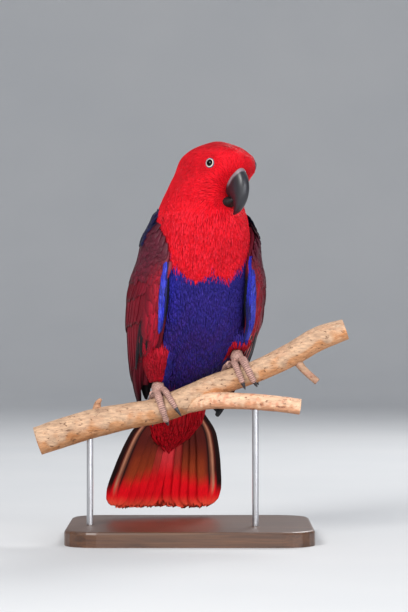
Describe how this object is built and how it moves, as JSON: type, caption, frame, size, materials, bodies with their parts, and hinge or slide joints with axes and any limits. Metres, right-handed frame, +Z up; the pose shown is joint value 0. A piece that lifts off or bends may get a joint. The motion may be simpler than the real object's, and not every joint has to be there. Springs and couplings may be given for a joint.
{
  "type": "bird_figure",
  "caption": "Life-size still eclectus parrot hen, red and violet, perched on a cut length of branch on a low display stand",
  "frame": {"origin": "centre of the stand base's flat underside", "axes": "+Z up, from the base to the crown of the head. -Y is the side the bird faces, and +X is the bird's left, towards the higher end of the branch"},
  "size_m": [0.2903, 0.196, 0.3666],
  "materials": {
    "red_feathers": "soft feathers",
    "violet_feathers": "soft feathers",
    "crimson_feathers": "close feathers",
    "black_horn": "polished horn",
    "eye": "wet and clear",
    "foot_skin": "scaly",
    "claw_horn": "worn horn",
    "branch_wood": "bark, peeling in places",
    "base_wood": "oiled",
    "rod_steel": "brushed"
  },
  "bodies": {
    "root": {"head": "red_feathers", "neck": "red_feathers", "torso": "violet_feathers", "wing_left": "crimson_feathers", "wing_right": "crimson_feathers", "tail": "crimson_feathers", "leg_left": "crimson_feathers", "leg_right": "crimson_feathers", "eye_left": "eye", "eye_right": "eye", "bill_upper": "black_horn", "bill_lower": "black_horn", "foot_left": "foot_skin", "foot_right": "foot_skin", "claw_left_inner_front": "claw_horn", "claw_left_outer_front": "claw_horn", "claw_left_inner_back": "claw_horn", "claw_left_outer_back": "claw_horn", "claw_right_inner_front": "claw_horn", "claw_right_outer_front": "claw_horn", "claw_right_inner_back": "claw_horn", "claw_right_outer_back": "claw_horn", "perch_branch": "branch_wood", "perch_limb": "branch_wood", "stand_base": "base_wood", "stand_rod_left": "rod_steel", "stand_rod_right": "rod_steel"}
  },
  "joints": []
}
